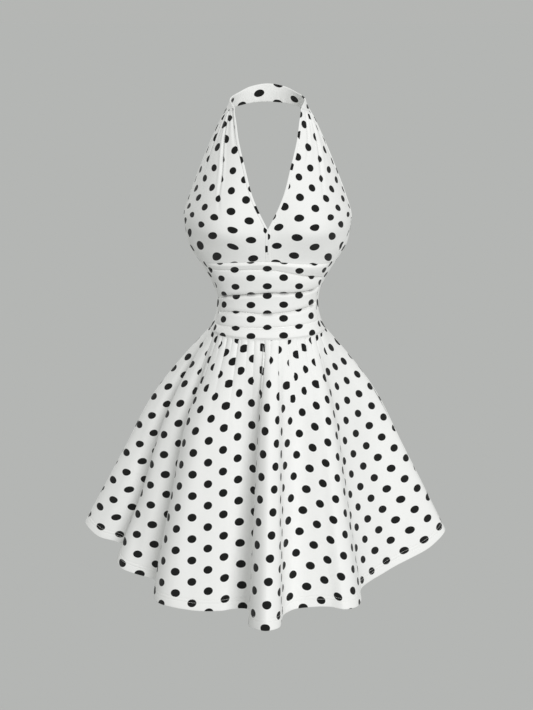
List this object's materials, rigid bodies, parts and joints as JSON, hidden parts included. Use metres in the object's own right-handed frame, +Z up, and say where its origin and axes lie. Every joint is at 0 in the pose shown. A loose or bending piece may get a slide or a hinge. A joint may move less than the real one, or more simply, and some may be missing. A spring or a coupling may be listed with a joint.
{
  "type": "halter-neck skater mini dress",
  "caption": "Halter-neck mini dress in white jersey with black dots: V neck, ruched midriff and a flared skirt gathered at the waist, filled out as worn.",
  "frame": {"origin": "middle of the neck loop, level with the middle of the neck band at the nape; the wearer's neck holds the dress there", "axes": "+Z up along the wearer's body, the front of the dress faces -Y, and +X is to the right of someone who looks at its front"},
  "size_m": [0.626, 0.5099, 0.8093],
  "materials": {
    "dotted_jersey": "fine stretch jersey, matt white with charcoal-black dots"
  },
  "bodies": {
    "root": {"neck_band": "dotted_jersey", "cup_left": "dotted_jersey", "cup_right": "dotted_jersey", "midriff_front": "dotted_jersey", "bodice_back": "dotted_jersey", "skirt_front": "dotted_jersey", "skirt_back": "dotted_jersey"}
  },
  "joints": []
}
